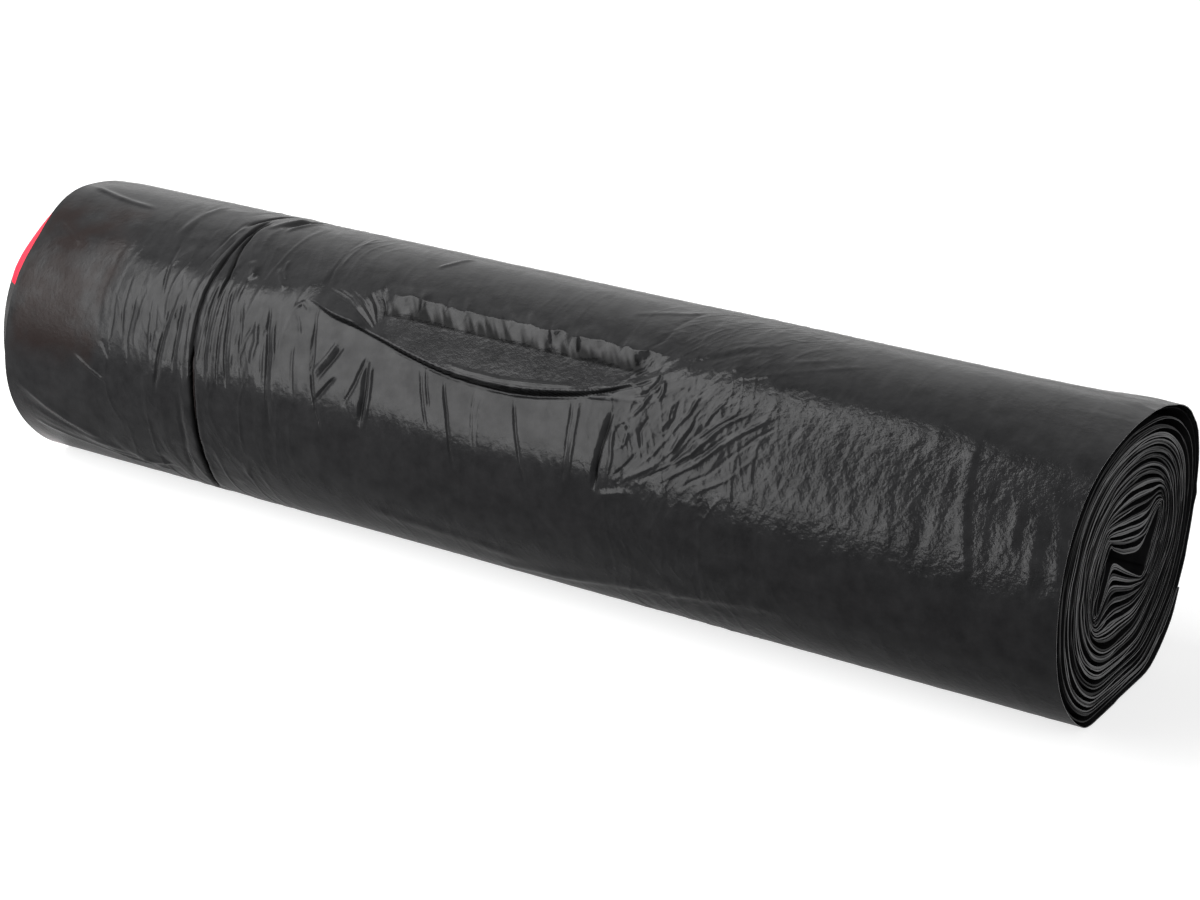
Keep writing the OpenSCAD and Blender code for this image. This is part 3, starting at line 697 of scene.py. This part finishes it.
wrapSettings = {
    "frontStep": 0.5, "backStep": 4.0, "frontFrom": 286, "frontTo": 478, "under": 0.06,
    "thickness": 0.16, "innerDrop": 1.0, "edgeThin": 0.75, "bow": 0.15,
    "rimDraw": 0.3, "rimLength": 7.0, "rimColumns": 8, "rimBack": 6,
    "deepest": -0.95, "highest": 1.3, "lipShade": 0.65, "slackShade": 0.6, "backFold": 0.9,
    "hemDeep": 34.5, "dull": 0.5,
    "stations": [(-148, -120, 36), (-120, -70, 156), (-70, 30, 300), (30, 84, 168), (84, 148, 140)],
    "seams": [-70, -20, 30, 84], "names": ["hem", "left", "middle", "right", "open"],
}


def wrapSurface(x, a, t):
    # the outside of the last turn: the winding at depth 0, moved outwards by every crease, by the
    # fine wrinkles and by the lip; and how much painted shade each point gets in a fold, under the lip and
    # on the slack film above it
    c = wrapSettings
    hem = 1 - smooth((x + halfLength) / w["hemReach"])
    mouth = 1 - smooth((halfLength - x) / w["openReach"])
    f = frontAngle(a)
    edge = np.minimum(halfLength - x, x + halfLength)
    raised = crinkle(x, f)
    s = f * perDegree
    xBent = x + 0.35 * cellNoise(x / 9, s / 7, 21) + 0.16 * cellNoise(x / 3, s / 3.3, 22)
    lipAngle = lipLine(xBent)
    # painted shade in a thin line just under the lip
    underLip = bell(f - lipAngle + 0.5, 0.45) * smooth((54 - lipAngle) / 10)
    paintedShadeSum = c["lipShade"] * underLip * smooth((x - lipSettings["from"]) / lipSettings["fade"])
    # above the lip the slack film catches less light the lower it lies: painted shade in slanting streaks
    streaks = cellNoise((x + 0.5 * f) / 1.5, f / 17, 27) + 0.5 * cellNoise((x + 0.5 * f) / 0.8, f / 9, 28)
    slack = smooth((62 - f + 5 * streaks) / 9) * smooth((f - 51.5) / 1.5)
    paintedShadeSum = paintedShadeSum + c["slackShade"] * slack * between(x, -42, 8, 44, 8)
    # each narrow groove adds its painted shade
    for crease in creases:
        height, grooveShade = creaseHeight(xBent, f, crease)
        raised += height
        paintedShadeSum += grooveShade
    # the creases lie on the front and the top, and fade towards the loose edge and the next turn
    live = between(f, -74, 14, 168, 30) * between(360 * t, 0, 15, 360 * 1.02, 25)
    backFolds = c["backFold"] * creaseNoise(f / 12, x / 60, 34) - 0.4
    backFolds = backFolds * bell(f - 165, 45) * smooth((x - 128) / 22)
    rim = c["rimDraw"] * (1 - smooth(edge / c["rimLength"])) * smooth((f + 60) / 20)
    out = np.clip(raised, c["deepest"], c["highest"]) * live + lipHeight(xBent, f) + backFolds - rim
    # the loose edge thins out over 12 degrees
    depth = outerDepth(t) + fill(t) * c["edgeThin"] * (1 - smooth(360 * t / 12))
    y, z = ringPoint(a, depth / w["turns"], hem, mouth)
    return y, z, out, smooth((paintedShadeSum - 0.05) / 0.8) * live


def surfaceNormals(points):
    # the cross product of the differences along the columns and along the rows
    across = np.cross(np.gradient(points, axis=1), np.gradient(points, axis=0))
    return across / np.maximum(np.linalg.norm(across, axis=-1, keepdims=True), 1e-12)


def makeWrap():
    # a grid of angle by x in five pieces; each goes round its ends and back along the inside,
    # and the normals of the whole grid carry the shading over the seams
    c = wrapSettings
    angles = np.concatenate([
        np.arange(w["tailAngle"], c["frontFrom"], c["backStep"]),
        np.arange(c["frontFrom"], c["frontTo"], c["frontStep"]),
        np.arange(c["frontTo"], w["tailAngle"] + 360 * (1 + c["under"]), c["backStep"]),
    ])
    t = ((angles - w["tailAngle"]) / 360)[:, None]
    rimX = halfLength - c["rimLength"]
    xs = np.concatenate([np.linspace(-halfLength, -rimX, c["rimColumns"])[:-1]]
                        + [np.linspace(x0, x1, n, endpoint=False) for x0, x1, n in c["stations"]]
                        + [np.linspace(rimX, halfLength, c["rimColumns"])])
    hemX = hemFold(t)
    x = mix(hemX, halfLength, ((xs + halfLength) / w["length"])[None, :])
    a = angles[:, None] + 0 * x
    y, z, out, fold = wrapSurface(x, a, t + 0 * x)
    rad = np.radians(a)

    def skin(drop, cols, shift=0.0):
        # those columns, sunk by drop; the far inside ignores what stands out from the roll
        stands = out[:, cols]
        if drop == c["innerDrop"]:
            stands = np.minimum(stands, 0)
        skinY = y[:, cols] - (stands - drop) * np.cos(rad[:, cols])
        skinZ = np.maximum(z[:, cols] + (stands - drop) * np.sin(rad[:, cols]), drop * 0.4)
        return np.stack([x[:, cols] + shift, skinY, skinZ], -1)

    last = x.shape[1] - 1
    outer = skin(0, np.arange(last + 1))
    normals = surfaceNormals(outer)
    f = frontAngle(a)
    depthIn = x - hemX
    # the red tape behind the hem tints it, in patches
    patchy = 0.62 + 0.7 * cellNoise(x / 7, f / 11, 31) + 0.4 * cellNoise(x / 2.6, f / 4, 32)
    hemEdge = c["hemDeep"] - depthIn + 3 * cellNoise(x / 5, f / 9, 33)
    tint = smooth((depthIn - 0.5) / 2) * smooth(hemEdge / 7) * between(f, -4, 18, 84, 18)
    tint = tint * np.clip(patchy, 0, 1.3)
    dimples = smooth((x - 50) / 40) * between(f, -2, 12, 62, 10) + 0.1 * smooth((-112 - x) / 12)
    cuts = [0] + [int(np.argmin(np.abs(xs - seam))) for seam in c["seams"]] + [last]
    thin, deep = c["thickness"], c["innerDrop"]
    pieces = []
    for name, i, j in zip(c["names"], cuts[:-1], cuts[1:]):
        right, left = [skin(deep, [j])], [skin(deep, [i])]
        if j == last:
            right = [skin(thin, [j]), skin(thin, [j], -c["bow"]), skin(deep, [j - c["rimBack"]])]
        if i == 0:
            left = [skin(deep, [i + c["rimBack"]]), skin(thin, [i], c["bow"]), skin(thin, [i])]
        ring = np.concatenate([outer[:, i:j + 1]] + right + left, 1)
        rows, columns = ring.shape[:2]
        shade = np.zeros_like(ring)
        shade[:, :j + 1 - i] = normals[:, i:j + 1]
        # the painted shade of folds, the lip and the slack film goes to the material as an attribute
        shares = {"tint": tint, "fold": fold, "dimples": dimples, "dull": c["dull"] + 0 * x}
        for key, share in shares.items():
            padded = np.zeros((rows, columns))
            padded[:, :j + 1 - i] = share[:, i:j + 1]
            shares[key] = padded.ravel()
        quads = gridQuads(rows, columns, closed=True)[:, ::-1]
        piece = makeMesh("outer_film_" + name, ring.reshape(-1, 3), quads, shares)
        piece.data.normals_split_custom_set_from_vertices(shade.reshape(-1, 3))
        pieces.append(piece)
    return pieces


layerSettings = {
    "count": 3, "step": 3.0, "film": 0.9, "coreFilm": 0.84, "wander": 0.3, "spread": 0.5, "flap": 0.5,
    "fullest": 0.96, "closer": 0.42, "leastSpan": 0.22, "openInset": 0.3, "hemInset": 0.15, "hemStep": 0.5,
    "edgeStrip": 5, "hemDeep": 33, "hemTurns": 2.4, "from": 0.02, "justBeside": 0.0004,
}
# where neighbouring turns part: the turn inside the gap, how far the gap reaches and its size, in turns
partings = [
    (9.1, 0.22, 0.34), (1.9, 0.18, 0.32), (2.9, 0.19, 0.42), (3.92, 0.17, 0.4), (4.94, 0.14, 0.3),
    (5.08, 0.08, 0.3), (5.42, 0.2, 0.16), (5.96, 0.12, 0.24), (7.04, 0.09, 0.38), (7.6, 0.16, 0.2),
    (8.04, 0.08, 0.3),
]


def makeLayers():
    # the web under the last turn: each wall of the solid is three films, and each film is a strip
    # wound from the loose edge to the hollow, with an outer skin, an inner skin and two edges
    c = layerSettings
    lastTurn = w["turns"] + w["pleatTurns"]
    parts, quadParts, tints, dulls, first = [], [], [], [], 0
    t = np.unique(np.concatenate([
        np.arange(c["from"], lastTurn, c["step"] / 360),
        [notchFrom - c["justBeside"], notchFrom, notchTo, notchTo + c["justBeside"], lastTurn]]))
    for k in range(c["count"]):
        # only the innermost film of the wall is needed under the last turn itself
        tk = t[t >= (c["from"] if k == c["count"] - 1 else 1.0)]
        a = turnAngle(tk)
        # films of one wall lie closer here and wider apart there, and the gap to the next turn with them
        close = 0.5 + 0.5 * cellNoise(tk * 2.3, tk * 0 + 0.5, 41)
        parted = sum(size * bell(tk - turn, reach) for turn, reach, size in partings)
        pressed = sum(size * bell(tk + 1 - turn, reach) for turn, reach, size in partings)
        span = fill(tk) * (c["fullest"] - c["closer"] * close) + 0.08 * smooth(tk - 2)
        span = np.maximum(span - 0.7 * parted - 0.6 * pressed, c["leastSpan"])
        wobble = c["spread"] * cellNoise(tk * 4.1, tk * 0 + 1.7 * k, 42)
        low = outerDepth(tk) + parted + span * (k + wobble * (k > 0)) / c["count"]
        low = np.where(tk < 1, np.maximum(low, outerDepth(tk) + 0.5), low)
        high = low + span * mix(c["film"], c["coreFilm"], smooth((tk - 8) / 1.5)) / c["count"]
        jitter = cellNoise(tk * 5.2, tk * 0 + 7 * k, 43) + 0.8 * cellNoise(tk * 23, tk * 0 + 5 * k, 44)
        jitter = c["wander"] * jitter
        right = halfLength - c["openInset"] - recess(tk) + jitter * smooth(tk)
        left = hemFold(tk) + c["hemInset"] + np.abs(jitter) * smooth(tk - 1.9) + c["hemStep"] * k
        left = np.where(inNotch(tk), left + w["notchDepth"], left)
        left = np.where(tk < 1, left + 1.5, left)
        right = np.where(tk < 1, right - 0.5, right)
        # the hem that the notch leaves stands up against the last turn
        flap = c["flap"] * smooth((tk - 1.30) / 0.14) * (tk < notchFrom)
        xs = np.stack([left - 0.5 * flap, left + c["edgeStrip"], right - c["edgeStrip"], right], 1)
        lifted = flap[:, None] * np.array([1, 0.35, 0, 0])
        oy, oz = place(xs, a[:, None], low[:, None] - lifted)
        iy, iz = place(xs, a[:, None], high[:, None] - lifted)
        outer, inner = np.stack([xs, oy, oz], -1), np.stack([xs, iy, iz], -1)
        # a closed loop at each angle: outer skin, open edge, inner skin, hem edge
        band = np.concatenate([outer, outer[:, -1:], inner[:, -1:], inner[:, ::-1], inner[:, :1],
                               outer[:, :1]], 1)
        rows, columns = band.shape[:2]
        parts.append(band.reshape(-1, 3))
        quadParts.append(gridQuads(rows, columns, closed=True, first=first)[:, ::-1])
        depthIn = band[..., 0] - left[:, None]
        tint = smooth(depthIn / 0.8) * smooth((c["hemDeep"] - depthIn) / 3) * (tk < c["hemTurns"])[:, None]
        tints.append(tint.ravel())
        # edges are paler towards the middle of the roll, and change from turn to turn
        pale = 0.78 + 0.2 * smooth((tk - 7) / 3) + 0.5 * cellNoise(tk * 2.7, tk * 0 + 3.3 * k, 46)
        dulls.append(np.repeat(np.clip(1 - pale, 0, 0.7), columns))
        first += rows * columns
    shares = {"tint": np.concatenate(tints), "dull": np.concatenate(dulls)}
    return makeMesh("wound_film", np.concatenate(parts), np.concatenate(quadParts), shares)


tapeSettings = {
    "step": 3.0, "from": 0.111, "share": 0.5, "edgeIn": 0.1, "raised": (0.485, 0.03, 0.9, 0.12),
    "sway": 0.2, "columns": (0, 3, 10, 20, w["tapeWidth"]),
}


def makeTape():
    # a band wound over the second turn, with four sides; where the hem is cut away for pulling it,
    # it lies up against the last turn and reaches the end of the roll
    c = tapeSettings
    t = np.arange(c["from"], c["from"] + w["tapeTurns"], c["step"] / 360)
    a = turnAngle(t)
    air = 1 - ringFill
    raised = between(t, *c["raised"])
    middle = mix(t + 1 - air / 2, outerDepth(t) + ringFill + air * c["share"] / 2 + 0.02, raised)
    sway = c["sway"] * cellNoise(t * 7, t * 0, 51) * (1 - raised)
    left = mix(hemFold(t + 1) + w["tapeInset"], c["edgeIn"] - halfLength, raised) + sway
    xs = np.stack([left + column for column in c["columns"]], 1)
    oy, oz = place(xs, a[:, None], (middle - air * c["share"] / 2)[:, None])
    iy, iz = place(xs, a[:, None], (middle + air * c["share"] / 2)[:, None])
    outer, inner = np.stack([xs, oy, oz], -1), np.stack([xs, iy, iz], -1)
    band = np.concatenate([outer, inner[:, ::-1]], 1)
    rows, columns = band.shape[:2]
    quads = gridQuads(rows, columns, closed=True)[:, ::-1]
    return makeMesh("drawtape_band", band.reshape(-1, 3), quads)


films = makeWrap() + [makeLayers()]
tape = makeTape()
for piece in films + [tape]:
    isTape = piece is tape
    piece.data.materials.append(tapeRed if isTape else film)
    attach(piece, "root")
    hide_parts("drawtape" if isTape else "film_roll")
print("film and tape made:", [(p.name, len(p.data.polygons) * 2) for p in films + [tape]])

studio = {
    "table": "#b0b0b0", "tableGlow": 0.72, "tableMirrored": 0.12, "tableHalf": 4.0,
    "white": 1.0, "ambient": 0.25,
}
# centre, aim, width and height in metres, then radiance in W/(m2 sr)
lamps = {
    "softbox": ((-0.515, -0.503, 0.522), (-0.515, 0.0, 0.035), 0.53, 1.66, 8.0),
    "softbox_side": ((-0.93, -0.503, 0.522), (-0.93, 0.0, 0.035), 0.30, 1.66, 2.8),
    "top_light": ((-0.35, 0.75, 0.85), (0.0, 0.0, 0.035), 1.6, 0.9, 0.25),
    "end_fill": ((0.9, -0.35, 0.45), (0.15, 0.0, 0.035), 0.7, 0.7, 2.0),
}
# matched to the photo: lens and sensor in mm, then places in metres from the middle of the roll
viewer = {"lens": 90.23, "sensor": 36, "at": (0.39220, -0.58341, 0.28528), "aim": (0.01232, 0.0, -0.00390)}


def makeTable():
    # a square sheet, white to the camera, that takes the roll's shadow
    mesh = bpy.data.meshes.new("table")
    r = studio["tableHalf"]
    mesh.from_pydata([(-r, -r, 0), (r, -r, 0), (r, r, 0), (-r, r, 0)], [], [(0, 1, 2, 3)])
    obj = bpy.data.objects.new("table", mesh)
    bpy.context.scene.collection.objects.link(obj)
    material, tree = newMaterial("white_table")
    path = node(tree, "LightPath")
    seen = node(tree, "Math", {"operation": "MAXIMUM"}, {
        0: (path, "Is Camera Ray"), 1: (path, "Is Transmission Ray")})
    mirrored = node(tree, "Math", {"operation": "MULTIPLY"}, {
        0: (path, "Is Glossy Ray"), 1: studio["tableMirrored"]})
    lift = node(tree, "Math", {"operation": "MULTIPLY_ADD"}, {
        0: (seen, 0), 1: studio["tableGlow"], 2: (mirrored, 0)})
    matt = node(tree, "BsdfDiffuse", {}, {"Color": linear(studio["table"])})
    glow = node(tree, "Emission", {}, {"Strength": (lift, 0)})
    both = node(tree, "AddShader", {}, {0: (matt, 0), 1: (glow, 0)})
    node(tree, "OutputMaterial", {}, {"Surface": (both, 0)})
    mesh.materials.append(material)


def makeWorld():
    # white where the camera or a reflection sees it, and a plain fill otherwise
    world = bpy.data.worlds.new("studio")
    bpy.context.scene.world = world
    world.use_nodes = True
    tree = world.node_tree
    tree.nodes.clear()
    path = node(tree, "LightPath")
    seen = node(tree, "Math", {"operation": "MAXIMUM"}, {
        0: (path, "Is Camera Ray"), 1: (path, "Is Glossy Ray")})
    seen = node(tree, "Math", {"operation": "MAXIMUM"}, {
        0: (seen, 0), 1: (path, "Is Transmission Ray")})
    strength = node(tree, "MapRange", {}, {
        "Value": (seen, 0), "To Min": studio["ambient"], "To Max": studio["white"]})
    sky = node(tree, "Background", {}, {"Color": (1, 1, 1, 1), "Strength": (strength, 0)})
    node(tree, "OutputWorld", {}, {"Surface": (sky, 0)})


def pointAt(obj, centre, target):
    # puts obj at centre and turns its -Z towards target
    obj.location = centre
    obj.rotation_mode = "QUATERNION"
    obj.rotation_quaternion = (Vector(target) - Vector(centre)).to_track_quat("-Z", "Y")


def addSoftbox(name, centre, target, width, height, radiance):
    # a rectangular lamp; its power is radiance times area times pi
    lamp = bpy.data.lights.new(name, "AREA")
    lamp.shape = "RECTANGLE"
    lamp.size, lamp.size_y = width, height
    lamp.energy = radiance * math.pi * width * height
    obj = bpy.data.objects.new(name, lamp)
    bpy.context.scene.collection.objects.link(obj)
    pointAt(obj, centre, target)


def makeCamera():
    # its heights count from the middle of the roll's section, flatDrop above the table
    camera = bpy.data.cameras.new("camera")
    camera.lens, camera.sensor_width = viewer["lens"], viewer["sensor"]
    camera.clip_start, camera.clip_end = 0.01, 50
    obj = bpy.data.objects.new("camera", camera)
    bpy.context.scene.collection.objects.link(obj)
    middle = Vector((0, 0, 0.001 * flatDrop))
    pointAt(obj, Vector(viewer["at"]) + middle, Vector(viewer["aim"]) + middle)
    bpy.context.scene.camera = obj


makeTable()
makeWorld()
for name, lamp in lamps.items():
    addSoftbox(name, *lamp)
makeCamera()
bpy.context.scene.view_settings.view_transform = "Standard"
print("studio set")
